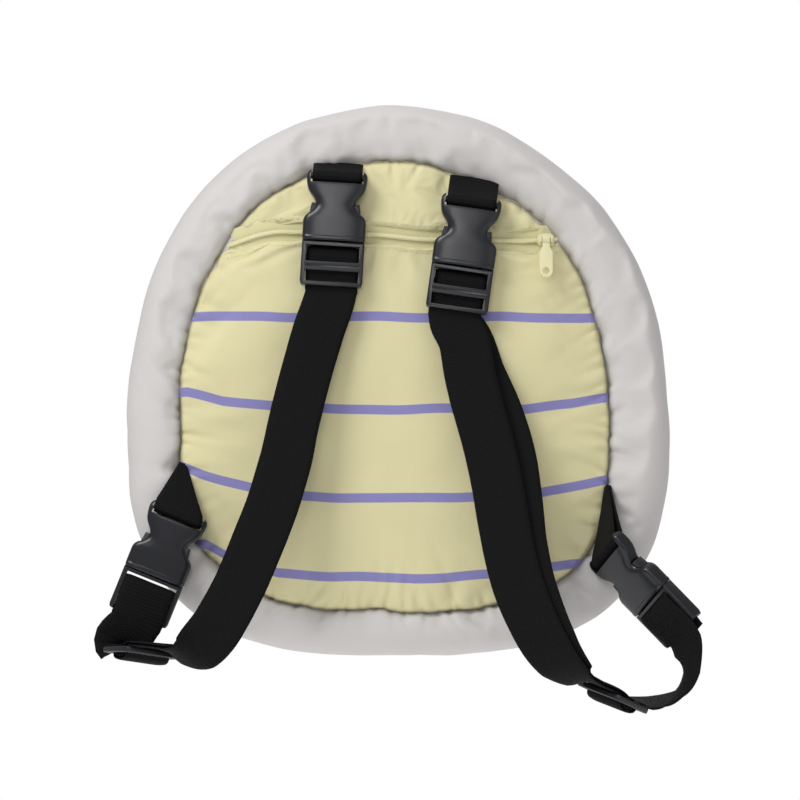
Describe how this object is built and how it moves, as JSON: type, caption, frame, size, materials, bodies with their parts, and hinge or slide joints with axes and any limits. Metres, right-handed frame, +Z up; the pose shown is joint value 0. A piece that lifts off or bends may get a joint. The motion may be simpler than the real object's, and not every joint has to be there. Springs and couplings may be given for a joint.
{
  "type": "turtle shell backpack",
  "caption": "Child's backpack in the form of a turtle shell: stuffed rim, padded striped belly panel with a zip, quilted shell and buckled webbing shoulder straps.",
  "frame": {"origin": "crown of the belly panel, which lies against the wearer's back", "axes": "+Z up along the wearer's back, -Y towards the wearer, +X to the viewer's right who looks at the belly panel"},
  "size_m": [0.3048, 0.1564, 0.3066],
  "materials": {
    "rim_cloth": "soft brushed cotton, whitish",
    "belly_cloth": "soft cotton twill, pale yellow with printed lilac stripes",
    "shell_cloth": "quilted cotton, muted olive green",
    "zip_plastic": "pale yellow lacquer and nylon",
    "webbing": "black woven polypropylene",
    "black_plastic": "black moulded acetal, satin"
  },
  "bodies": {
    "pack": {"rim_roll": "rim_cloth", "carapace": "shell_cloth", "belly_lower": "belly_cloth", "belly_upper": "belly_cloth", "zip_tape_upper": "belly_cloth", "zip_tape_lower": "belly_cloth", "zip_coil": "zip_plastic", "zip_slider": "zip_plastic", "left_top_socket": "black_plastic", "left_top_plug": "black_plastic", "left_triglide": "black_plastic", "left_lower_plug": "black_plastic", "left_lower_socket": "black_plastic", "left_top_tab": "webbing", "left_lower_tab": "webbing", "left_shoulder_strap": "webbing", "right_top_socket": "black_plastic", "right_top_plug": "black_plastic", "right_triglide": "black_plastic", "right_lower_plug": "black_plastic", "right_lower_socket": "black_plastic", "right_top_tab": "webbing", "right_lower_tab": "webbing", "right_shoulder_strap": "webbing"},
    "zip_pull": {"zip_pull": "zip_plastic"}
  },
  "joints": [
    {"name": "zip_pull_swing", "type": "hinge", "parent": "pack", "child": "zip_pull", "pos_m": [0.07573, 0.0012, 0.09698], "axis": [-1, 0, 0], "range_deg": [0, 120]}
  ]
}
